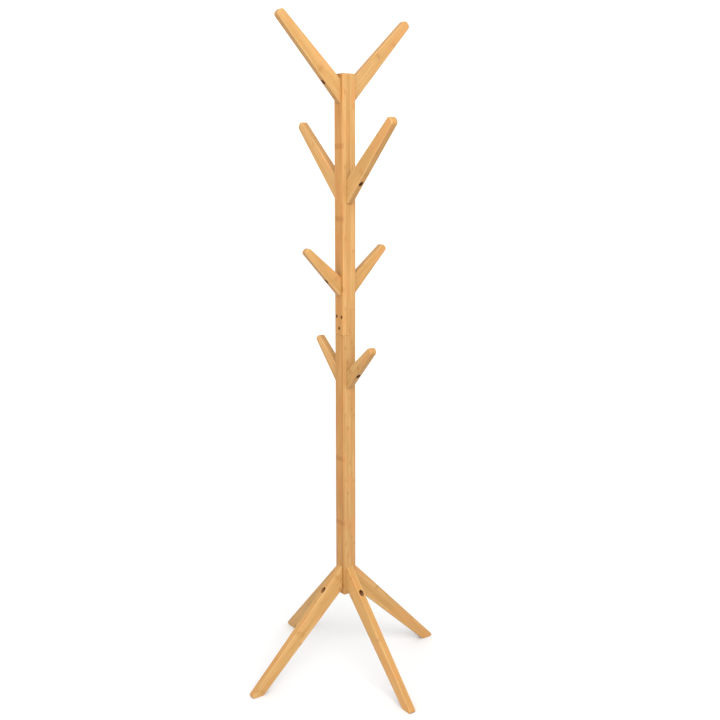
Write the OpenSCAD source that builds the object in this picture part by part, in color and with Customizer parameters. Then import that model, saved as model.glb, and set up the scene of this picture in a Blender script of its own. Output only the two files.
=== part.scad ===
// Standing coat rack of solid boards. A square post in two half-lapped sections carries eight
// raking arms in four tiers and stands on four raking legs, each board bolted to one face of
// the post. The floor is z = 0, the post's axis is the z axis and the front is -Y.
// Tiers 1 and 3 point left and right (-X and +X), tiers 2 and 4 point front and back (-Y and +Y).

/* [Post] */
// Side of the square post
post_w = 38; // [30:0.5:60]
// Radius that eases the post's long edges
post_edge_r = 2; // [0.5:0.5:4]
// Height of the post's lower end above the floor
post_foot_z = 218; // [160:1:280]
// Height of the post's top above the floor
post_top_z = 1571; // [1300:1:1900]

/* [Half-lap joint] */
// Height of the lap's lower shoulder above the contact top of tier 4
lap_above_tier = 90; // [40:1:100]
// Length of the two tongues
lap_len = 66; // [45:1:90]
// Gap left at the lap's upper shoulder
lap_gap = 0.3; // [0.1:0.1:1]
// Distance between the two upper lap screws
lap_screw_spread = 21; // [14:0.5:22]
// Height between the lower lap screw and the upper two
lap_screw_rise = 30; // [20:1:40]

/* [Tiers] */
// Depth of the top tier's contact top below the post's top
top_tier_drop = 12; // [4:1:30]
// Height from one tier to the next
tier_pitch = 241; // [190:1:290]
// Thickness of the arm boards
arm_t = 19; // [15:0.5:24]
// Mean angle of a tier 1 arm above level
rake_1 = 45.8; // [35:0.1:56]
// Mean angle of a tier 2 arm above level
rake_2 = 43.1; // [35:0.1:56]
// Mean angle of a tier 3 arm above level
rake_3 = 43.5; // [35:0.1:56]
// Mean angle of a tier 4 arm above level
rake_4 = 42; // [35:0.1:56]

/* [Long arms of tiers 1 and 2] */
// Length from the middle of the post's face to the tip in tier 1
top_len = 240.5; // [180:0.5:300]
// Length from the middle of the post's face to the tip in tier 2
long_len = 247; // [180:0.5:300]
// Height of the face that meets the post
long_h = 58; // [48:1:72]
// Width at the tip
long_tip_w = 22; // [16:0.5:30]
// Corner radius at the tip
long_tip_r = 9; // [3:0.5:10]

/* [Short arms of tiers 3 and 4] */
// Length from the middle of the post's face to the tip
short_len = 137.5; // [110:0.5:170]
// Height of the face that meets the post
short_h = 47; // [39:1:57]
// Width at the tip
short_tip_w = 17.5; // [14:0.5:24]
// Corner radius at the tip
short_tip_r = 7.5; // [3:0.5:8]

/* [Blunt lower ends of the arms] */
// Flat under a tier 1 arm, nearly sharp
toe_1 = 0.6; // [0.2:0.1:5]
// Flat under each arm of the other tiers
toe_w = 4.5; // [0.2:0.1:5]

/* [Legs] */
// Thickness of the leg boards
leg_t = 18; // [15:0.5:24]
// Height of the leg's contact top above the floor
leg_top_z = 296.5; // [240:0.5:360]
// Height of the face that meets the post
leg_h = 67; // [56:0.5:80]
// Distance from the post's face to the toe of the foot
leg_reach = 285; // [230:1:350]
// Length of the foot along the floor
foot_len = 38.5; // [30:0.5:50]
// Corner radius at both ends of the foot
foot_r = 5; // [2:0.5:8]

/* [Bolts and inserts] */
// Thread diameter of the socket-head bolts
bolt_d = 6; // [5:0.5:7.5]
// Diameter of the arm bolts' heads
arm_head_d = 10; // [8.5:0.5:12.5]
// Diameter of the leg bolts' heads
leg_head_d = 12; // [8.5:0.5:13.5]
// Height of the bolts' heads
bolt_head_h = 6; // [4:0.5:7.5]
// Width across flats of the bolts' hexagon socket
bolt_key_w = 5; // [4:0.5:6]
// Distance of a bolt from the upper end of an arm's contact or the lower end of a leg's
bolt_inset = 10; // [8:0.5:14]
// Wood between the post's face and the underside of the bolt's head
seat_web = 22; // [16:0.5:27]
// Outside diameter of the threaded inserts
insert_d = 10; // [9:0.5:12]
// Wood left at the post's core between neighbouring inserts
insert_core = 2; // [1:0.5:3]

/* [Dowels] */
// Diameter of the locating dowels
dowel_d = 6; // [5:0.5:8]
// Length of the dowels, half of it in the post
dowel_len = 20; // [14:1:24]
// Wood left between the end of a dowel's hole and the board's sloping edge
dowel_wall = 3; // [1:0.5:4]

/* [Lap screws] */
// Shank diameter of the countersunk lap screws
screw_d = 4; // [3:0.5:5]
// Head diameter of the lap screws
screw_head_d = 9; // [6:0.5:10]
// Wood left in front of the lap screws' points
screw_cover = 8; // [4:0.5:12]

/* [Clearances] */
// Radial clearance of bolts in their through holes
bolt_gap = 0.3; // [0.1:0.05:0.6]
// Radial clearance round the bolt heads in their counterbores
head_gap = 0.5; // [0.2:0.1:1]
// Radial clearance of inserts, dowels, threads and lap screws in their holes
snug_gap = 0.05; // [0.02:0.01:0.1]
// Depth that a dowel's or insert's hole runs past its end
end_gap = 0.5; // [0.2:0.1:1]

/* [Hidden] */
$fn = 48;

// Turn about the z axis that faces a board to each side of the post
RIGHT = 0;
BACK = 90;
LEFT = 180;
FRONT = 270;
ARM_SIDES = [[LEFT, RIGHT], [FRONT, BACK], [LEFT, RIGHT], [FRONT, BACK]];
LEG_SIDES = [LEFT, RIGHT, FRONT, BACK];

BAMBOO = [0.87, 0.67, 0.42];
STEEL = [0.62, 0.62, 0.64];
BRASS = [0.78, 0.62, 0.32];
BEECH = [0.86, 0.74, 0.56];

half_post = post_w / 2;
overcut = 1;
// Growth of the corner circles that makes each cross its two sides cleanly instead of grazing them
corner_relief = 0.002;
cut_reach = max(top_len, long_len);
insert_len = half_post - insert_d / 2 - insert_core;
bolt_len = seat_web + insert_len;
insert_hole = insert_len + end_gap;
dowel_hole = dowel_len / 2 + end_gap;
insert_ring_h = 1.2;
insert_ring_depth = 0.5;
dowel_chamfer = 0.8;
bolt_socket_h = bolt_head_h / 2;
screw_head_h = (screw_head_d - screw_d) / 2;
screw_point_h = 2 * screw_d;
screw_len = post_w - screw_cover;
screw_slot_w = screw_d / 4;

tier_tops = [for (k = [0:3]) post_top_z - top_tier_drop - k * tier_pitch];
lap_low_z = tier_tops[3] + lap_above_tier;
lap_high_z = lap_low_z + lap_len;
lap_mid_z = (lap_low_z + lap_high_z) / 2;

// One arm pattern a tier: contact height, rake, length, tip width, tip radius and toe
ARMS = [
    [long_h, rake_1, top_len, long_tip_w, long_tip_r, toe_1],
    [long_h, rake_2, long_len, long_tip_w, long_tip_r, toe_w],
    [short_h, rake_3, short_len, short_tip_w, short_tip_r, toe_w],
    [short_h, rake_4, short_len, short_tip_w, short_tip_r, toe_w]];

function unit(v) = v / norm(v);
function half_angle(a, b, c) = acos(unit(a - b) * unit(c - b)) / 2;
// Where a corner's circle touches the side that runs from b towards a
function touch(a, b, c, r) = b + unit(a - b) * r / tan(half_angle(a, b, c));
// Centre of the circle that rounds corner b between its neighbours a and c
function round_centre(a, b, c, r) = b + unit(unit(a - b) + unit(c - b)) * r / sin(half_angle(a, b, c));

// Side view of an arm: x runs out from the post's face, y runs up, the contact's top is y = 0
function arm_corners(arm) = let (
    h = arm[0], rake = arm[1], length = arm[2], tip_w = arm[3], toe = arm[5],
    along = [cos(rake), sin(rake)], across = [-sin(rake), cos(rake)],
    tip = [0, -h / 2] + along * length)
    [[0, -h], [toe, -h], tip - across * tip_w / 2, tip + across * tip_w / 2, [0, 0]];
// Side view of a leg: x runs out from the post's face, the floor is y = 0
function leg_corners() =
    [[0, leg_top_z], [0, leg_top_z - leg_h], [leg_reach - foot_len, 0], [leg_reach, 0]];

// Tangent of a board edge's slope between two of its corners
function slope(a, b) = (b.y - a.y) / (b.x - a.x);
// Height of a dowel above an arm's lower end that keeps the dowel's hole inside the board
function arm_dowel_rise(arm) = let (c = arm_corners(arm))
    dowel_d / 2 + (dowel_hole + dowel_wall - arm[5]) * slope(c[1], c[2]);
function leg_dowel_drop() = let (c = leg_corners())
    dowel_d / 2 - (dowel_hole + dowel_wall) * slope(c[0], c[3]);

arm_bolt_zs = [for (k = [0:3]) tier_tops[k] - bolt_inset];
arm_dowel_zs = [for (k = [0:3]) tier_tops[k] - ARMS[k][0] + arm_dowel_rise(ARMS[k])];
leg_bolt_z = leg_top_z - leg_h + bolt_inset;
leg_dowel_z = leg_top_z - leg_dowel_drop();

// A convex outline whose corners are rounded by the radius given for each, or left sharp at 0
module soft_outline(corners, radii) {
    n = len(corners);
    polygon([for (i = [0:n - 1]) let (a = corners[(i + n - 1) % n], b = corners[i], c = corners[(i + 1) % n])
        each radii[i] > 0 ? [touch(a, b, c, radii[i]), touch(c, b, a, radii[i])] : [b]]);
    for (i = [0:n - 1])
        if (radii[i] > 0)
            translate(round_centre(corners[(i + n - 1) % n], corners[i], corners[(i + 1) % n], radii[i]))
                circle(r = radii[i] + corner_relief);
}

// Stands an outline up as a board of thickness t in the xz plane
module board(t) {
    rotate([90, 0, 0])
        linear_extrude(t, center = true)
            children();
}

// Puts its children against the post's face on one side, with x pointing out of that face
module at_face(side, z = 0) {
    rotate([0, 0, side])
        translate([half_post, 0, z])
            children();
}

// A cylinder along x from x = from to x = to
module rod(d, from, to) {
    translate([from, 0, 0])
        rotate([0, 90, 0])
            cylinder(d = d, h = to - from);
}

// Holes in a board: through hole and counterbore for the bolt
module bolt_cuts(head_d) {
    rod(bolt_d + 2 * bolt_gap, -overcut, seat_web + overcut);
    rod(head_d + 2 * head_gap, seat_web, cut_reach);
}

// Holes in the post for one board: the insert's and the dowel's
module post_cuts(side, bolt_z, dowel_z) {
    at_face(side, bolt_z)
        rod(insert_d + 2 * snug_gap, -insert_hole, overcut);
    at_face(side, dowel_z)
        rod(dowel_d + 2 * snug_gap, -dowel_hole, overcut);
}

module all_post_cuts() {
    for (k = [0:3], side = ARM_SIDES[k])
        post_cuts(side, arm_bolt_zs[k], arm_dowel_zs[k]);
    for (side = LEG_SIDES)
        post_cuts(side, leg_bolt_z, leg_dowel_z);
}

// The post's square section with eased edges
module post_section() {
    inner = post_w - 2 * post_edge_r;
    square([post_w, inner], center = true);
    square([inner, post_w], center = true);
    for (x = [-1, 1], y = [-1, 1])
        translate([x, y] * inner / 2)
            circle(r = post_edge_r);
}

module post_stock(from_z, to_z) {
    translate([0, 0, from_z])
        linear_extrude(to_z - from_z)
            post_section();
}

// The half of the post that the other section's tongue takes up, on side -1 (left) or 1 (right)
module lap_recess(side, from_z, to_z) {
    translate([side < 0 ? -post_w : 0, -post_w, from_z])
        cube([post_w, 2 * post_w, to_z - from_z]);
}

// Places its children on the left face at each lap screw, with x pointing out of the face
module at_lap_screws() {
    for (y = [-1, 1])
        translate([0, y * lap_screw_spread / 2, 0])
            at_face(LEFT, lap_mid_z + lap_screw_rise / 2)
                children();
    at_face(LEFT, lap_mid_z - lap_screw_rise / 2)
        children();
}

module lap_screw_cuts() {
    at_lap_screws() {
        rod(screw_d + 2 * snug_gap, -screw_len - end_gap, overcut);
        rotate([0, -90, 0])
            cylinder(d1 = screw_head_d + 2 * snug_gap, d2 = screw_d + 2 * snug_gap, h = screw_head_h);
    }
}

module post_upper() {
    color(BAMBOO)
        difference() {
            post_stock(lap_low_z, post_top_z);
            lap_recess(1, lap_low_z - overcut, lap_high_z + lap_gap);
            all_post_cuts();
            lap_screw_cuts();
        }
}

module post_lower() {
    color(BAMBOO)
        difference() {
            post_stock(post_foot_z, lap_high_z);
            lap_recess(-1, lap_low_z, lap_high_z + overcut);
            all_post_cuts();
            lap_screw_cuts();
        }
}

module arm(tier, side) {
    arm = ARMS[tier - 1];
    color(BAMBOO)
        at_face(side, tier_tops[tier - 1])
            difference() {
                board(arm_t)
                    soft_outline(arm_corners(arm), [0, 0, arm[4], arm[4], 0]);
                translate([0, 0, -bolt_inset])
                    bolt_cuts(arm_head_d);
                translate([0, 0, arm_dowel_rise(arm) - arm[0]])
                    rod(dowel_d + 2 * snug_gap, -overcut, dowel_hole);
            }
}

module leg(side) {
    color(BAMBOO)
        at_face(side)
            difference() {
                board(leg_t)
                    soft_outline(leg_corners(), [0, 0, foot_r, foot_r]);
                translate([0, 0, leg_bolt_z])
                    bolt_cuts(leg_head_d);
                translate([0, 0, leg_dowel_z])
                    rod(dowel_d + 2 * snug_gap, -overcut, dowel_hole);
            }
}

module bolt(head_d) {
    color(STEEL) {
        rod(bolt_d, seat_web - bolt_len, seat_web);
        difference() {
            rod(head_d, seat_web, seat_web + bolt_head_h);
            translate([seat_web + bolt_head_h - bolt_socket_h, 0, 0])
                rotate([0, 90, 0])
                    cylinder(d = bolt_key_w / cos(30), h = bolt_socket_h + overcut, $fn = 6);
        }
    }
}

// A tube with rings round it that bite into the post
module insert() {
    ring_count = floor(insert_len / (2 * insert_ring_h));
    color(BRASS)
        rotate([0, -90, 0])
            difference() {
                union() {
                    cylinder(d = insert_d - 2 * insert_ring_depth, h = insert_len);
                    for (i = [0:ring_count - 1])
                        translate([0, 0, 2 * i * insert_ring_h])
                            cylinder(d = insert_d, h = insert_ring_h);
                }
                translate([0, 0, -overcut])
                    cylinder(d = bolt_d + 2 * snug_gap, h = insert_len + 2 * overcut);
            }
}

module dowel() {
    color(BEECH)
        rotate([0, 90, 0])
            rotate_extrude()
                polygon([[0, -dowel_len / 2], [dowel_d / 2 - dowel_chamfer, -dowel_len / 2],
                    [dowel_d / 2, dowel_chamfer - dowel_len / 2], [dowel_d / 2, dowel_len / 2 - dowel_chamfer],
                    [dowel_d / 2 - dowel_chamfer, dowel_len / 2], [0, dowel_len / 2]]);
}

module lap_screw() {
    color(STEEL)
        rotate([0, -90, 0])
            difference() {
                rotate_extrude()
                    polygon([[0, 0], [screw_head_d / 2, 0], [screw_d / 2, screw_head_h],
                        [screw_d / 2, screw_len - screw_point_h], [0, screw_len]]);
                for (turn = [0, 90])
                    rotate([0, 0, turn])
                        cube([screw_d, screw_slot_w, screw_head_h], center = true);
            }
}

module arm_tier_1_left() { arm(1, LEFT); }
module arm_tier_1_right() { arm(1, RIGHT); }
module arm_tier_2_front() { arm(2, FRONT); }
module arm_tier_2_back() { arm(2, BACK); }
module arm_tier_3_left() { arm(3, LEFT); }
module arm_tier_3_right() { arm(3, RIGHT); }
module arm_tier_4_front() { arm(4, FRONT); }
module arm_tier_4_back() { arm(4, BACK); }
module leg_left() { leg(LEFT); }
module leg_right() { leg(RIGHT); }
module leg_front() { leg(FRONT); }
module leg_back() { leg(BACK); }

module arm_bolts() {
    for (k = [0:3], side = ARM_SIDES[k])
        at_face(side, arm_bolt_zs[k])
            bolt(arm_head_d);
}

module arm_inserts() {
    for (k = [0:3], side = ARM_SIDES[k])
        at_face(side, arm_bolt_zs[k])
            insert();
}

module arm_dowels() {
    for (k = [0:3], side = ARM_SIDES[k])
        at_face(side, arm_dowel_zs[k])
            dowel();
}

module leg_bolts() {
    for (side = LEG_SIDES)
        at_face(side, leg_bolt_z)
            bolt(leg_head_d);
}

module leg_inserts() {
    for (side = LEG_SIDES)
        at_face(side, leg_bolt_z)
            insert();
}

module leg_dowels() {
    for (side = LEG_SIDES)
        at_face(side, leg_dowel_z)
            dowel();
}

module lap_screws() {
    at_lap_screws()
        lap_screw();
}

post_upper();
post_lower();
arm_tier_1_left();
arm_tier_1_right();
arm_tier_2_front();
arm_tier_2_back();
arm_tier_3_left();
arm_tier_3_right();
arm_tier_4_front();
arm_tier_4_back();
leg_left();
leg_right();
leg_front();
leg_back();
arm_bolts();
arm_inserts();
arm_dowels();
leg_bolts();
leg_inserts();
leg_dowels();
lap_screws();
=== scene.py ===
import math

import bpy
from mathutils import Matrix, Vector


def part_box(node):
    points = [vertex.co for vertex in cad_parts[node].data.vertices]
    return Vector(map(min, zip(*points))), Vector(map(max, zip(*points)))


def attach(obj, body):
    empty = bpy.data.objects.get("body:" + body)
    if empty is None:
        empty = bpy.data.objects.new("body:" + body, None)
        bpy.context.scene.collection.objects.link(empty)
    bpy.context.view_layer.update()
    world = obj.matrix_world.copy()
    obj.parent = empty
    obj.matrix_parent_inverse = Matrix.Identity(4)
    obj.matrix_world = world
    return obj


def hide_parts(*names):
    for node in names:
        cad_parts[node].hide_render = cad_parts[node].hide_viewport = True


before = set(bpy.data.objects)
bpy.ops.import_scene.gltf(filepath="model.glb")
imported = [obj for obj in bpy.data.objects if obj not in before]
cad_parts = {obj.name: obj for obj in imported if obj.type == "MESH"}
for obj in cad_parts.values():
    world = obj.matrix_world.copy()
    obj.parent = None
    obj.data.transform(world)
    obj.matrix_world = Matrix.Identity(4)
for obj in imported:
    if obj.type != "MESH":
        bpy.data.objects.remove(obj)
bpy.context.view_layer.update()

# Standing coat rack of laminated bamboo: a lapped square post, eight raking arms and four raking
# legs, each board pulled against one face of the post by a counterbored bolt.

# --------------------------------------------------------------------------------------------------
# Lower post section. A square length of laminated bamboo with eased long edges, sanded and sealed
# with clear satin varnish. Its upper end is sawn away on the left to leave the right-hand tongue
# of the lap.

UP = Vector((0, 0, 1))
POST_EASE = 0.002
EASE_STEPS = 5
POST_END_EASE = 0.0014
POST_END_STEPS = 3
LAP_ARRIS = 0.001
LAP_WASTE = 0.1
LONG_EDGE = 0.1
SAME_PLACE = 0.00001
MERGE_GAP = 0.000001
SMOOTH_ANGLE = 28
LOWER_BAND_PLACE = 0.597
LOWER_BAND_END = 0.68

post_foot_corner, tongue_top_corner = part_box("post_lower")
tongue_foot_corner, post_top_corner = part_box("post_upper")
half_post = post_top_corner.x
lap_foot, lap_top = tongue_foot_corner.z, tongue_top_corner.z


def pick_up(piece):
    """Select one piece and nothing else."""
    bpy.ops.object.select_all(action="DESELECT")
    piece.select_set(True)
    bpy.context.view_layer.objects.active = piece


def saw_blank(name, low, high):
    """A square-sawn blank between two corners."""
    bpy.ops.object.select_all(action="DESELECT")
    bpy.ops.mesh.primitive_cube_add(size=1, location=(Vector(low) + Vector(high)) / 2)
    blank = bpy.context.object
    blank.name = blank.data.name = name
    blank.scale = Vector(high) - Vector(low)
    bpy.ops.object.transform_apply(location=True, rotation=True, scale=True)
    return blank


def choose_edges(piece, wanted):
    """Select the edges for which wanted(one end, other end) holds, ready for an edit-mode tool."""
    pick_up(piece)
    bpy.ops.object.mode_set(mode="EDIT")
    bpy.ops.mesh.select_mode(type="EDGE")
    bpy.ops.mesh.select_all(action="DESELECT")
    bpy.ops.object.mode_set(mode="OBJECT")
    spots = piece.data.vertices
    for edge in piece.data.edges:
        edge.select = bool(wanted(spots[edge.vertices[0]].co, spots[edge.vertices[1]].co))
    bpy.ops.object.mode_set(mode="EDIT")


def ease_edges(piece, wanted, width, steps):
    """Round over the chosen edges."""
    choose_edges(piece, wanted)
    bpy.ops.mesh.bevel(offset=width, segments=steps, profile=0.5, clamp_overlap=True)
    bpy.ops.object.mode_set(mode="OBJECT")


def merge_doubles(piece):
    """Merge points that a cut has left on top of each other."""
    pick_up(piece)
    bpy.ops.object.mode_set(mode="EDIT")
    bpy.ops.mesh.select_all(action="SELECT")
    bpy.ops.mesh.remove_doubles(threshold=MERGE_GAP)
    bpy.ops.object.mode_set(mode="OBJECT")


def cut_with(piece, cutter):
    """Take the cutter's shape out of a piece, and put the cutter away."""
    pick_up(piece)
    cut = piece.modifiers.new("cut", "BOOLEAN")
    cut.operation, cut.solver, cut.object = "DIFFERENCE", "EXACT", cutter
    bpy.ops.object.modifier_apply(modifier=cut.name)
    bpy.data.objects.remove(cutter)
    merge_doubles(piece)


def on_plane(value, axis):
    """Whether both ends of an edge lie at value on an axis."""
    return lambda a, b: all(abs(end[axis] - value) < SAME_PLACE for end in (a, b))


def post_blank(name, low, high):
    """A length of the post with its long edges eased."""
    blank = saw_blank(name, low, high)
    ease_edges(blank, lambda a, b: abs(a.z - b.z) > LONG_EDGE, POST_EASE, EASE_STEPS)
    return blank


def ease_lap(piece):
    """Take the arrises off the lap, so that it shows as a fine line."""
    def arris(a, b):
        on_a_face = any(on_plane(y, 1)(a, b) for y in (-half_post, half_post))
        return (on_plane(0, 0)(a, b) and on_a_face) or on_plane(lap_foot, 2)(a, b)
    ease_edges(piece, arris, LAP_ARRIS, 1)


class Strand:
    """One socket of a finish. Arithmetic on it adds Math nodes."""

    def __init__(self, finish, socket):
        self.finish, self.socket = finish, socket

    def worked(self, operation, *terms):
        return self.finish.node("ShaderNodeMath", {"operation": operation}, dict(enumerate(terms)))

    def __add__(self, other):
        return self.worked("ADD", self, other)

    def __sub__(self, other):
        return self.worked("SUBTRACT", self, other)

    def __rsub__(self, other):
        return self.worked("SUBTRACT", other, self)

    def __mul__(self, other):
        return self.worked("MULTIPLY", self, other)

    def __truediv__(self, other):
        return self.worked("DIVIDE", self, other)

    def __rtruediv__(self, other):
        return self.worked("DIVIDE", other, self)

    def __abs__(self):
        return self.worked("ABSOLUTE", self)

    __radd__, __rmul__ = __add__, __mul__

    def whole(self):
        return self.worked("FLOOR", self)

    def fraction(self):
        return self.worked("FRACT", self)

    def least(self, other):
        return self.worked("MINIMUM", self, other)


class Finish:
    """A material as it is mixed."""

    def __init__(self, name):
        self.material = bpy.data.materials.new(name)
        self.material.use_nodes = True
        self.tree = self.material.node_tree
        self.tree.nodes.clear()

    def node(self, kind, settings, inputs, output=0):
        """A node of that kind, with its settings and the values or links of its sockets."""
        made = self.tree.nodes.new(kind)
        for key, value in settings.items():
            setattr(made, key, value)
        for key, value in inputs.items():
            if isinstance(value, Strand):
                self.tree.links.new(value.socket, made.inputs[key])
            else:
                made.inputs[key].default_value = value
        return Strand(self, made.outputs[output]) if made.outputs else None

    def place(self):
        """Where a point is on its piece."""
        return self.node("ShaderNodeTexCoord", {}, {}, 3)

    def fade(self, value, start, end, low=0.0, high=1.0):
        """Smoothly from low at start to high at end."""
        return self.node("ShaderNodeMapRange", {"interpolation_type": "SMOOTHSTEP"},
                         {"Value": value, "From Min": start, "From Max": end,
                          "To Min": low, "To Max": high})

    def blend(self, share, first, second, how="MIX"):
        """Two colours mixed by share."""
        return self.node("ShaderNodeMix", {"data_type": "RGBA", "blend_type": how},
                         {0: share, 6: first, 7: second}, 2)

    def relief(self, height, strength, depth):
        """The bumps of a surface, depth deep where they are strongest."""
        return self.node("ShaderNodeBump", {},
                         {"Strength": strength, "Distance": depth, "Height": height})

    def surface(self, inputs):
        """Close the finish with its shader."""
        shader = self.node("ShaderNodeBsdfPrincipled", {}, inputs)
        self.node("ShaderNodeOutputMaterial", {}, {0: shader})

    def wear(self, piece):
        """Put this finish on a piece as its only one."""
        piece.data.materials.clear()
        piece.data.materials.append(self.material)


BAMBOO_PALE = (0.442, 0.255, 0.090, 1)
BAMBOO_DEEP = (0.322, 0.162, 0.042, 1)
BAMBOO_NODE = (0.215, 0.078, 0.012, 1)
BAMBOO_BLUSH = (0.420, 0.180, 0.052, 1)
# Eased edges: a lighter colour for rubbed wear and a painted highlight
BAMBOO_RUBBED_AND_HIGHLIGHT = (0.520, 0.345, 0.165, 1)
# Painted shade: a darker, more saturated colour on the left and right faces of the post
BROAD_PAINTED_SHADE = (0.969, 0.845, 0.650, 1)
POST_CAST = (1.000, 1.010, 1.090)

# Features a metre along the strips, and across them
FIBRE = (9, 620)
THREAD = (30, 2400)
DRIFT = (7, 60)
STREAK = (11, 190)
BLUSH = (16, 55)
WANDER = (20, 160)

STRIP_WIDE = 0.020
STRIP_THICK = 0.0063
FIRST_STRIP = 20.5
NODE_PITCH = 0.177
NODE_WANDER = 0.006
FIRST_NODE = 50
BAND_LAYER = 0.003
BAND_FADE = 0.001
BAND_TAIL = 0.02

# How far off its middle a mark starts to fade, and how far off it is gone
NODE_LINE = (0.0003, 0.0017)
NODE_STAIN = (0.0015, 0.011)
BAND_STAIN = (0.0045, 0.0085)
GLUE_LINE = (0.00008, 0.00035)

# How deep under a broad or a narrow side its painted shade starts, and how deep it is full
BROAD_FADE = (0.003, 0.001)
NARROW_FADE = (0.0022, 0.0006)

# How much of a darker colour goes into each mark
STAIN_SHARE = 0.24
LINE_SHARE = 0.36
SEAM_SHARE = 0.16
BLUSH_SHARE = 0.5
# Painted shade: how much darker the narrow sides of a board are painted
NARROW_PAINTED_SHADE_DEEP = 0.30
NARROW_PAINTED_SHADE_NODE = 0.16


def bamboo(name, centre, along, wide, thick, ease, seed, shade, cast, band=None):
    """Laminated bamboo: strips lie along the board, and wide is the way that their broad faces run
    across it. Each strip has its own tone and its own nodes; shade and cast set the piece's
    brightness and its hue. A square bar has a band, the (place, end) of a row of nodes along its
    left face, and painted shade, a darker and more saturated colour, on its left and right faces.
    A board has neither; its narrow sides, upper and lower, are painted a shade deeper as painted
    shade."""
    along = Vector(along).normalized()
    wide = (Vector(wide) - along * along.dot(Vector(wide))).normalized()
    turn = Matrix((along, wide, along.cross(wide))).transposed().to_euler()
    f = Finish(name)
    laid = f.node("ShaderNodeMapping", {"vector_type": "TEXTURE"},
                  {"Vector": f.place(), "Location": Vector(centre), "Rotation": turn})
    length, across, deep = (f.node("ShaderNodeSeparateXYZ", {}, {0: laid}, k) for k in range(3))

    def at(x, y, z):
        return f.node("ShaderNodeCombineXYZ", {}, {0: x, 1: y, 2: z})

    def drawn(rates):
        return length * rates[0], across * rates[1], deep * rates[1]

    def cloud(x, y, z, detail):
        return f.node("ShaderNodeTexNoise", {"noise_dimensions": "3D"},
                      {"Vector": at(x, y, z), "Scale": 1.0, "Detail": detail, "Roughness": 0.55})

    # Which strip a point is in, and three random numbers for that strip
    strip_across = across / STRIP_WIDE + FIRST_STRIP
    strip_deep = deep / STRIP_THICK + FIRST_STRIP
    lot = f.node("ShaderNodeTexWhiteNoise", {"noise_dimensions": "3D"},
                 {"Vector": at(strip_across.whole(), strip_deep.whole(), float(seed))}, 1)
    tone, start, strength = (f.node("ShaderNodeSeparateColor", {}, {0: lot}, k) for k in range(3))

    # Fibres drawn out along the strip, coarse and fine, and slow drifts of colour
    fibre = cloud(*drawn(FIBRE), 3.0)
    thread = cloud(*drawn(THREAD), 2.0)
    x, y, z = drawn(DRIFT)
    drift = cloud(x, y + tone * 3, z, 2.0)
    x, y, z = drawn(STREAK)
    streak = cloud(x, y, z + tone * 7, 2.0)

    # Nodes of the cane: a thin dark line with a soft stain on each side of it
    wander = (cloud(*drawn(WANDER), 1.0) - 0.5) * NODE_WANDER
    step = (length + wander) / NODE_PITCH + start * 5 + FIRST_NODE
    off = abs((step.fraction() - 0.5) * NODE_PITCH)
    shown = f.fade(strength, 0.25, 0.75)
    stain = f.fade(off, *NODE_STAIN, 1.0, 0.0) * shown
    line = f.fade(off, *NODE_LINE, 1.0, 0.0) * shown
    if band:
        place, end = band
        row = (length + wander * 0.5 - place) / NODE_PITCH + (FIRST_NODE + 0.5)
        gap = abs((row.fraction() - 0.5) * NODE_PITCH)
        layer = thick / 2 - BAND_LAYER
        face = f.fade(deep, layer - BAND_FADE, layer)
        ring = f.fade(length, end, end + BAND_TAIL, 1.0, 0.0) * face
        stain = stain * (1 - face) + f.fade(gap, *BAND_STAIN, 1.4, 0.0) * ring
        line = line * (1 - face) + f.fade(gap, *NODE_LINE, 0.5, 0.0) * ring

    # Glue lines between strips
    edge_across, edge_deep = strip_across.fraction(), strip_deep.fraction()
    glue_across = edge_across.least(1 - edge_across) * STRIP_WIDE
    glue_deep = edge_deep.least(1 - edge_deep) * STRIP_THICK
    seam = f.fade(glue_across.least(glue_deep), *GLUE_LINE, 1.0, 0.0)

    # Colour of the strips and their marks
    mellow = ((fibre - 0.5) * 0.8 + (thread - 0.5) * 0.5 + (drift - 0.5) * 0.9
              + (streak - 0.5) * 0.75 + (tone - 0.5) * 0.3 + 0.5)
    colour = f.blend(f.fade(mellow, 0.0, 1.0), BAMBOO_PALE, BAMBOO_DEEP)
    colour = f.blend(stain * STAIN_SHARE, colour, BAMBOO_NODE)
    colour = f.blend(line * LINE_SHARE, colour, BAMBOO_NODE)
    colour = f.blend(seam * SEAM_SHARE, colour, BAMBOO_NODE)
    blush = f.fade(cloud(*drawn(BLUSH), 2.0), 0.47, 0.68, 0.0, BLUSH_SHARE)
    colour = f.blend(blush, colour, BAMBOO_BLUSH)
    colour = f.blend(1.0, colour, (*(shade * c for c in cast), 1), "MULTIPLY")

    # Painted shade on a bar's broad sides or a board's narrow sides, and the eased edges, lighter
    # as rubbed wear and as a painted highlight
    from_core = abs(deep)
    if band:
        broad = f.fade(from_core, *(thick / 2 - depth for depth in BROAD_FADE))
        colour = f.blend(broad, colour, f.blend(1.0, colour, BROAD_PAINTED_SHADE, "MULTIPLY"))
        from_core = from_core.least(abs(across))
    else:
        narrow = f.fade(from_core, *(thick / 2 - depth for depth in NARROW_FADE), 1.0, 0.0)
        colour = f.blend(narrow * NARROW_PAINTED_SHADE_DEEP, colour, BAMBOO_DEEP)
        colour = f.blend(narrow * NARROW_PAINTED_SHADE_NODE, colour, BAMBOO_NODE)
    round_share = f.fade((from_core - (thick / 2 - ease)) / ease, 0.0, 1.0)
    eased = round_share * (1 - round_share) * 4
    colour = f.blend(eased * (fibre * 0.3 + 0.1), colour, BAMBOO_RUBBED_AND_HIGHLIGHT)

    # Satin varnish: the fibres and nodes stand a little proud under it
    sheen = (0.46 + (thread - 0.5) * 0.16 + (fibre - 0.5) * 0.12
             + line * 0.10 + seam * 0.10 + eased * 0.08)
    bump = f.relief(fibre * 0.6 + thread * 0.4 + line * 0.8 - seam * 1.2,
                    strength=0.35, depth=0.00022)
    f.surface({"Base Color": colour, "Roughness": sheen, "Normal": bump,
               "IOR": 1.4, "Specular IOR Level": 0.3})
    return f


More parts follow.
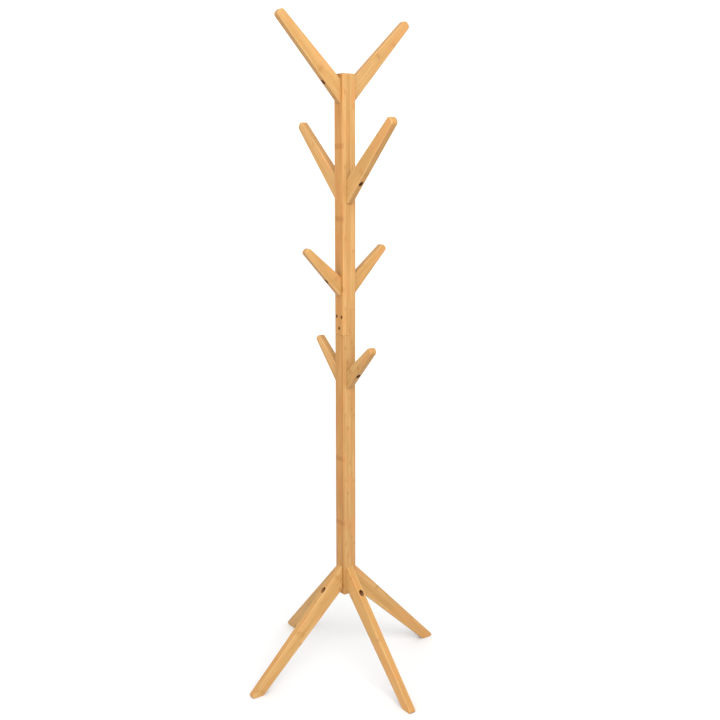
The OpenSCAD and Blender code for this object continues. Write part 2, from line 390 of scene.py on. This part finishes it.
def finish_wood(piece, finish, node):
    """Sand, varnish and hand over a wooden piece that stands for a CAD node."""
    pick_up(piece)
    bpy.ops.object.mode_set(mode="EDIT")
    bpy.ops.mesh.select_all(action="SELECT")
    bpy.ops.mesh.normals_make_consistent(inside=False)
    bpy.ops.object.mode_set(mode="OBJECT")
    bpy.ops.object.shade_smooth_by_angle(angle=math.radians(SMOOTH_ANGLE))
    if not piece.data.materials:
        piece.data.materials.append(None)
    piece.data.materials[0] = finish.material
    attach(piece, "root")
    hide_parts(node)


lower_post = post_blank("wood_post_lower", post_foot_corner, tongue_top_corner)
ease_edges(lower_post, on_plane(post_foot_corner.z, 2), POST_END_EASE, POST_END_STEPS)
cut_with(lower_post, saw_blank("lap_waste", (-LAP_WASTE, -LAP_WASTE, lap_foot),
                               (0, LAP_WASTE, lap_top + LAP_WASTE)))
ease_lap(lower_post)
lower_bamboo = bamboo("bamboo_post_lower", (0, 0, 0), UP, (0, 1, 0), 2 * half_post, POST_EASE,
                      seed=11, shade=0.92, cast=POST_CAST, band=(LOWER_BAND_PLACE, LOWER_BAND_END))
finish_wood(lower_post, lower_bamboo, "post_lower")

# --------------------------------------------------------------------------------------------------
# Upper post section. The same bamboo bar, sawn away on the right for its tongue. Three countersunk
# screws driven from the left hold the two tongues together.

LAP_GAP = 0.0003
UPPER_BAND_PLACE = 1.3985

upper_post = post_blank("wood_post_upper", tongue_foot_corner, post_top_corner)
ease_edges(upper_post, on_plane(post_top_corner.z, 2), POST_END_EASE, POST_END_STEPS)
cut_with(upper_post, saw_blank("lap_waste", (0, -LAP_WASTE, lap_foot - LAP_WASTE),
                               (LAP_WASTE, LAP_WASTE, lap_top + LAP_GAP)))
ease_lap(upper_post)
upper_bamboo = bamboo("bamboo_post_upper", (0, 0, 0), UP, (0, 1, 0), 2 * half_post, POST_EASE,
                      seed=4, shade=0.985, cast=POST_CAST,
                      band=(UPPER_BAND_PLACE, post_top_corner.z))
finish_wood(upper_post, upper_bamboo, "post_upper")

# --------------------------------------------------------------------------------------------------
# Long and short arms. Boards of laminated bamboo sawn to a taper, rounded at the tip and eased
# along both edges. Each is located by a dowel near its lower end and pulled up by a bolt near its
# upper end.

RIGHT, BACK, LEFT, FRONT = 0, math.pi / 2, math.pi, 3 * math.pi / 2
BOARD_CAST = (1.010, 1.055, 1.160)
BOARD_EASE = 0.0026
ROUND_STEPS = 12
SAW_SPARE = 0.03
SAME_CORNER = 0.0001
BOLT_HOLE = 0.0066
HEAD_HOLE = 0.011
SEAT_WEB = 0.022
BOLT_INSET = 0.010
DOWEL_HOLE = 0.0061
DOWEL_DEPTH = 0.0105
DOWEL_WALL = 0.003
INSERT_HOLE = 0.0101
INSERT_DEPTH = 0.0125
HOLE_SIDES = 40
DRILL_LEAD = 0.004
OVERCUT = 0.001
BEYOND = 0.3
WALL_MARGIN = 1.01
# Raw bored wood, painted very dark: painted shade inside the holes
BORE_PAINTED_SHADE_DARK = (0.12, 0.044, 0.013, 1)
BORE_PAINTED_SHADE_LIGHT = (0.23, 0.095, 0.030, 1)
TIERS = {
    1: dict(contact=0.058, rake=45.8, length=0.2405, tip=0.022, round=0.009, toe=0.0006),
    2: dict(contact=0.058, rake=43.1, length=0.247, tip=0.022, round=0.009, toe=0.0045),
    3: dict(contact=0.047, rake=43.5, length=0.1375, tip=0.0175, round=0.0075, toe=0.0045),
    4: dict(contact=0.047, rake=42.0, length=0.1375, tip=0.0175, round=0.0075, toe=0.0045),
}


def saw_off(piece, at, away):
    """Saw straight through at a point and drop what lies on the far side."""
    pick_up(piece)
    bpy.ops.object.mode_set(mode="EDIT")
    bpy.ops.mesh.select_all(action="SELECT")
    bpy.ops.mesh.bisect(plane_co=at, plane_no=away, use_fill=True, clear_outer=True)
    bpy.ops.object.mode_set(mode="OBJECT")


def corner_cut(radius, before, corner, after):
    """How far a round of that radius reaches along the sides of a corner."""
    half = (before - corner).angle(after - corner) / 2
    return radius * (1 / math.sin(half) - 1) / ((2 - math.sqrt(2)) * math.cos(half))


def saw_board(name, outline, thick, rounds, ends):
    """A board from its side view, a loop of (out, up) corners that runs anticlockwise. The sides in
    ends are sawn after the edges are eased, so they stay crisp; rounds gives the radius of rounded
    corners."""
    points = [Vector((x, 0, z)) for x, z in outline]
    heights = [p.z for p in points]
    low = Vector((-SAW_SPARE, -thick / 2, min(heights) - SAW_SPARE))
    high = Vector((max(p.x for p in points) + SAW_SPARE, thick / 2, max(heights) + SAW_SPARE))
    board = saw_blank(name, low, high)
    sides = [(points[k], points[(k + 1) % len(points)]) for k in range(len(points))]
    outward = [Vector(((b - a).z, 0, (a - b).x)).normalized() for a, b in sides]
    for k, (a, b) in enumerate(sides):
        if k not in ends:
            saw_off(board, a, outward[k])

    for k, radius in rounds.items():
        spot = points[k]
        reach = corner_cut(radius, points[k - 1], spot, points[(k + 1) % len(points)])

        def at_spot(a, b):
            return all(abs(p.x - spot.x) + abs(p.z - spot.z) < SAME_CORNER for p in (a, b))
        ease_edges(board, at_spot, reach, ROUND_STEPS)

    def on_rim(a, b):
        return any(on_plane(y, 1)(a, b) for y in (-thick / 2, thick / 2))
    ease_edges(board, on_rim, BOARD_EASE, EASE_STEPS)
    for k in ends:
        saw_off(board, sides[k][0], outward[k])
    return board


def bore(piece, mouth, along, diameter, depth):
    """Bore a round hole from its mouth, in the direction along."""
    bpy.ops.object.select_all(action="DESELECT")
    along = Vector(along).normalized()
    start, end = Vector(mouth) - along * DRILL_LEAD, Vector(mouth) + along * depth
    bpy.ops.mesh.primitive_cylinder_add(
        vertices=HOLE_SIDES, radius=diameter / 2, depth=(end - start).length,
        location=(start + end) / 2, rotation=along.to_track_quat("Z", "Y").to_euler())
    cut_with(piece, bpy.context.object)


def bare_wood(name, first, second, grain, strength, depth, rough):
    """Unvarnished wood with a fine even fleck."""
    f = Finish(name)
    fleck = f.node("ShaderNodeTexNoise", {}, {"Vector": f.place(), "Scale": grain, "Detail": 3.0})
    colour = f.blend(f.fade(fleck, 0.3, 0.7), first, second)
    f.surface({"Base Color": colour, "Roughness": rough,
               "Normal": f.relief(fleck, strength, depth)})
    return f


# The walls of the bores: raw wood painted dark, as painted shade inside the holes
raw_bore_painted_shade = bare_wood("bamboo_raw_bore", BORE_PAINTED_SHADE_DARK, BORE_PAINTED_SHADE_LIGHT,
                     grain=900.0, strength=0.5, depth=0.0003, rough=0.9)


def bored_faces(piece, holes):
    """Give the walls of holes, each a (height, radius), the second finish: raw bored wood,
    painted dark as painted shade inside the holes.
    """
    pick_up(piece)
    while len(piece.data.materials) < 2:
        piece.data.materials.append(None)
    piece.data.materials[1] = raw_bore_painted_shade.material
    spots = piece.data.vertices
    for face in piece.data.polygons:
        corners = [spots[v].co for v in face.vertices]
        for height, radius in holes:
            if all(math.hypot(c.y, c.z - height) < radius * WALL_MARGIN for c in corners):
                face.material_index = 1


def place_board(board, side, lift):
    """Stand a board against the post's face on one side."""
    pick_up(board)
    board.rotation_euler.z = side
    board.location = Matrix.Rotation(side, 3, "Z") @ Vector((half_post, 0, 0)) + UP * lift
    bpy.ops.object.transform_apply(location=True, rotation=True, scale=True)


def bore_post(side, bolt_height, dowel_height):
    """Bore the post for a board's insert and dowel."""
    outward = Matrix.Rotation(side, 3, "Z") @ Vector((1, 0, 0))
    for height, diameter, depth in ((bolt_height, INSERT_HOLE, INSERT_DEPTH),
                                    (dowel_height, DOWEL_HOLE, DOWEL_DEPTH)):
        section = upper_post if height > lap_top else lower_post
        bore(section, outward * half_post + UP * height, -outward, diameter, depth)


def copy_of(piece, name):
    """A copy with a mesh of its own."""
    pick_up(piece)
    bpy.ops.object.duplicate()
    twin = bpy.context.object
    twin.name = twin.data.name = name
    return twin


def make_arms(tier, sides):
    """Saw, ease and bore one arm, copy it, and fit both. Sides gives the name, turn, seed and shade
    of each."""
    size = TIERS[tier]
    low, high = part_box(f"arm_tier_{tier}_{sides[0][0]}")
    thick = min(high.x - low.x, high.y - low.y)
    contact, rake = size["contact"], math.radians(size["rake"])
    lift = low.z + contact
    along = Vector((math.cos(rake), 0, math.sin(rake)))
    across = Vector((-math.sin(rake), 0, math.cos(rake)))
    tip = Vector((0, 0, -contact / 2)) + along * size["length"]
    under, over = tip - across * size["tip"] / 2, tip + across * size["tip"] / 2
    outline = [(0, -contact), (size["toe"], -contact), (under.x, under.z), (over.x, over.z), (0, 0)]
    first = saw_board(f"wood_arm_tier_{tier}_{sides[0][0]}", outline, thick,
                      rounds={2: size["round"], 3: size["round"]}, ends=(0, 4))

    slope = (under.z + contact) / (under.x - size["toe"])
    dowel = -contact + DOWEL_HOLE / 2 + (DOWEL_DEPTH + DOWEL_WALL - size["toe"]) * slope
    bore(first, (0, 0, -BOLT_INSET), (1, 0, 0), BOLT_HOLE, SEAT_WEB + OVERCUT)
    bore(first, (BEYOND, 0, -BOLT_INSET), (-1, 0, 0), HEAD_HOLE, BEYOND - SEAT_WEB)
    bore(first, (0, 0, dowel), (1, 0, 0), DOWEL_HOLE, DOWEL_DEPTH)
    bored_faces(first, [(-BOLT_INSET, HEAD_HOLE / 2), (dowel, DOWEL_HOLE / 2)])

    second = copy_of(first, f"wood_arm_tier_{tier}_{sides[1][0]}")
    for arm, (side_name, side, seed, shade) in zip((first, second), sides):
        place_board(arm, side, lift)
        bore_post(side, lift - BOLT_INSET, lift + dowel)
        turn = Matrix.Rotation(side, 3, "Z")
        middle = turn @ (Vector((half_post, 0, 0)) + tip / 2) + UP * lift
        wood = bamboo(f"bamboo_arm_tier_{tier}_{side_name}", middle, turn @ along, turn @ across,
                      thick, BOARD_EASE, seed, shade, BOARD_CAST)
        finish_wood(arm, wood, f"arm_tier_{tier}_{side_name}")


make_arms(1, (("left", LEFT, 21, 1.06), ("right", RIGHT, 22, 1.01)))
make_arms(2, (("front", FRONT, 23, 1.12), ("back", BACK, 24, 1.14)))
make_arms(3, (("left", LEFT, 25, 1.04), ("right", RIGHT, 26, 1.05)))
make_arms(4, (("front", FRONT, 27, 0.99), ("back", BACK, 28, 1.09)))

# --------------------------------------------------------------------------------------------------
# Legs. Four tapered boards of the same bamboo that slope down from the post to a flat foot on the
# floor, rounded at the foot and eased along both edges. The bolt goes in from the upper edge, low
# on the contact face.

LEG_CONTACT = 0.067
LEG_HEAD_HOLE = 0.013
TOE_REACH = 0.285
FOOT_LENGTH = 0.0385
FOOT_ROUND = 0.005

low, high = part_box("leg_right")
leg_thick, leg_top = high.y - low.y, high.z
leg_outline = [(0, leg_top - LEG_CONTACT), (TOE_REACH - FOOT_LENGTH, 0), (TOE_REACH, 0),
               (0, leg_top)]
leg = saw_board("wood_leg_left", leg_outline, leg_thick,
                rounds={1: FOOT_ROUND, 2: FOOT_ROUND}, ends=(3,))

leg_bolt = leg_top - LEG_CONTACT + BOLT_INSET
leg_dowel = leg_top - DOWEL_HOLE / 2 - (DOWEL_DEPTH + DOWEL_WALL) * leg_top / TOE_REACH
bore(leg, (0, 0, leg_bolt), (1, 0, 0), BOLT_HOLE, SEAT_WEB + OVERCUT)
bore(leg, (BEYOND, 0, leg_bolt), (-1, 0, 0), LEG_HEAD_HOLE, BEYOND - SEAT_WEB)
bore(leg, (0, 0, leg_dowel), (1, 0, 0), DOWEL_HOLE, DOWEL_DEPTH)
bored_faces(leg, [(leg_bolt, LEG_HEAD_HOLE / 2), (leg_dowel, DOWEL_HOLE / 2)])

leg_run = Vector((TOE_REACH - FOOT_LENGTH / 2, 0, LEG_CONTACT / 2 - leg_top)).normalized()
legs = [leg] + [copy_of(leg, f"wood_leg_{side_name}") for side_name in ("right", "front", "back")]
leg_sides = (("left", LEFT, 31, 1.04), ("right", RIGHT, 32, 1.03),
             ("front", FRONT, 33, 1.13), ("back", BACK, 34, 0.98))
for leg, (side_name, side, seed, shade) in zip(legs, leg_sides):
    place_board(leg, side, 0)
    bore_post(side, leg_bolt, leg_dowel)
    turn = Matrix.Rotation(side, 3, "Z")
    middle = turn @ Vector((half_post + TOE_REACH / 2, 0, leg_top / 2))
    wood = bamboo(f"bamboo_leg_{side_name}", middle, turn @ leg_run, UP, leg_thick,
                  BOARD_EASE, seed, shade, BOARD_CAST)
    finish_wood(leg, wood, f"leg_{side_name}")

# --------------------------------------------------------------------------------------------------
# Lap screws. Countersunk steel wood screws, dark finished, driven from the left through both
# tongues. Their dark brown is the dark finish with painted shade and a painted reflection of the
# bamboo around them.

SCREW_HOLE = 0.0041
SCREW_HEAD = 0.0091
SCREW_REACH = 0.0305
SCREW_SINK = (SCREW_HEAD - SCREW_HOLE) / 2
SCREW_SPREAD = 0.021
SCREW_RISE = 0.030
lap_middle = (lap_foot + lap_top) / 2


def countersink(piece, y, z):
    """Drill for a screw in the left face, with a drill that widens into a cone at the mouth."""
    bpy.ops.object.select_all(action="DESELECT")
    bpy.ops.mesh.primitive_cylinder_add(
        vertices=HOLE_SIDES, radius=SCREW_HOLE / 2, depth=SCREW_REACH - SCREW_SINK,
        location=(-half_post + (SCREW_REACH + SCREW_SINK) / 2, y, z), rotation=(0, math.pi / 2, 0))
    bpy.ops.object.transform_apply(location=True, rotation=True, scale=True)
    drill = bpy.context.object
    choose_edges(drill, on_plane(SCREW_SINK - half_post, 0))
    bpy.ops.mesh.extrude_region_move(TRANSFORM_OT_translate={"value": (-SCREW_SINK, 0, 0)})
    widen = SCREW_HEAD / SCREW_HOLE
    bpy.ops.transform.resize(value=(1, widen, widen), center_override=(-half_post, y, z))
    bpy.ops.mesh.extrude_region_move(TRANSFORM_OT_translate={"value": (-OVERCUT, 0, 0)})
    bpy.ops.object.mode_set(mode="OBJECT")
    cut_with(piece, drill)


def metal(name, pale, deep, rough, grain):
    """Plated metal with a fine mottled sheen."""
    f = Finish(name)
    cloud = f.node("ShaderNodeTexNoise", {}, {"Vector": f.place(), "Scale": grain,
                                              "Detail": 4.0, "Roughness": 0.6})
    colour = f.blend(f.fade(cloud, 0.3, 0.7), pale, deep)
    f.surface({"Base Color": colour, "Metallic": 1.0, "Roughness": rough + (cloud - 0.5) * 0.2,
               "Normal": f.relief(cloud, strength=0.15, depth=0.0001)})
    return f


for y, rise in ((-SCREW_SPREAD / 2, SCREW_RISE / 2), (SCREW_SPREAD / 2, SCREW_RISE / 2),
                (0, -SCREW_RISE / 2)):
    countersink(upper_post, y, lap_middle + rise)
    bore(lower_post, (-half_post, y, lap_middle + rise), (1, 0, 0), SCREW_HOLE, SCREW_REACH)
# Dark brown: the dark finish, with painted shade and a painted reflection of the bamboo
screw_with_painted_shade = metal("screw_dark_with_painted_shade", (0.190, 0.088, 0.026, 1), (0.110, 0.048, 0.014, 1),
                   rough=0.6, grain=700.0)
screw_with_painted_shade.wear(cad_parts["lap_screws"])

# --------------------------------------------------------------------------------------------------
# Bolts and inserts. Socket-head steel bolts, seated deep in their counterbores, run into threaded
# brass inserts in the post.

bolt_steel = metal("bolt_bronzed_steel", (0.34, 0.20, 0.10, 1), (0.22, 0.12, 0.055, 1),
                   rough=0.42, grain=500.0)
insert_brass = metal("insert_brass", (0.62, 0.43, 0.17, 1), (0.50, 0.33, 0.12, 1),
                     rough=0.32, grain=500.0)
for name in ("arm_bolts", "leg_bolts"):
    bolt_steel.wear(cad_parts[name])
for name in ("arm_inserts", "leg_inserts"):
    insert_brass.wear(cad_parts[name])

# --------------------------------------------------------------------------------------------------
# Dowels. Plain beech pegs with chamfered ends, left unvarnished. Each is glued half in the post and
# half in its board.

beech = bare_wood("beech_dowel", (0.62, 0.42, 0.24, 1), (0.50, 0.31, 0.16, 1),
                  grain=800.0, strength=0.3, depth=0.0002, rough=0.65)
for name in ("arm_dowels", "leg_dowels"):
    beech.wear(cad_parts[name])

# --------------------------------------------------------------------------------------------------
# Studio. A plain pale floor that lightens with distance, an even white surround, a large soft key
# light at the front, a little to the left, and a weaker one on the left.

FLOOR_SIZE = 60.0
FLOOR_DROP = 0.0002
FLOOR_NEAR = (0.60, 0.60, 0.60, 1)
FLOOR_FAR = (0.86, 0.86, 0.86, 1)
FLOOR_FADE = (0.5, 4.5)
SURROUND_STRENGTH = 1.25
LIGHT_SIZE = 4.0
LIT_POINT = Vector((0, 0, 0.9))

bpy.ops.object.select_all(action="DESELECT")
bpy.ops.mesh.primitive_plane_add(size=FLOOR_SIZE, location=(0, 0, -FLOOR_DROP))
floor = bpy.context.object
floor.name = "studio_floor"
pale_floor = Finish("floor_pale")
floor_reach = pale_floor.node("ShaderNodeVectorMath", {"operation": "LENGTH"},
                              {0: pale_floor.place()}, 1)
floor_colour = pale_floor.blend(pale_floor.fade(floor_reach, *FLOOR_FADE), FLOOR_NEAR, FLOOR_FAR)
pale_floor.surface({"Base Color": floor_colour, "Roughness": 0.85, "Specular IOR Level": 0.1})
pale_floor.wear(floor)

surround = bpy.data.worlds.new("white_surround")
surround.use_nodes = True
surround_light = surround.node_tree.nodes["Background"].inputs
surround_light["Color"].default_value = (1.0, 1.0, 1.0, 1)
surround_light["Strength"].default_value = SURROUND_STRENGTH
bpy.context.scene.world = surround


def soft_light(name, at, power):
    """A square soft light that faces the rack."""
    lamp = bpy.data.lights.new(name, "AREA")
    lamp.shape, lamp.size, lamp.energy = "SQUARE", LIGHT_SIZE, power
    holder = bpy.data.objects.new(name, lamp)
    holder.location = at
    holder.rotation_euler = (LIT_POINT - Vector(at)).to_track_quat("-Z", "Y").to_euler()
    bpy.context.scene.collection.objects.link(holder)


soft_light("key", (-1.5, -4.2, 4.0), power=310.0)
soft_light("fill", (-4.5, -1.2, 3.0), power=80.0)

VIEW_PLACE = Vector((-1.3663, -2.0042, 1.3559))
VIEW_LINE = Vector((0.56439, 0.80073, -0.20073))
VIEW_UP = Vector((0.11498, 0.16453, 0.97965))
LENS, SENSOR = 47.85, 36.0
VIEW_REACH = 200.0

camera = bpy.data.objects.new("camera", bpy.data.cameras.new("camera"))
camera.data.sensor_width, camera.data.lens = SENSOR, LENS
camera.data.clip_end = VIEW_REACH
camera.location = VIEW_PLACE
view_axes = Matrix((VIEW_LINE.cross(VIEW_UP), VIEW_UP, -VIEW_LINE)).transposed()
camera.rotation_euler = view_axes.to_euler()
bpy.context.scene.collection.objects.link(camera)
bpy.context.scene.camera = camera
bpy.context.scene.view_settings.view_transform = "Standard"
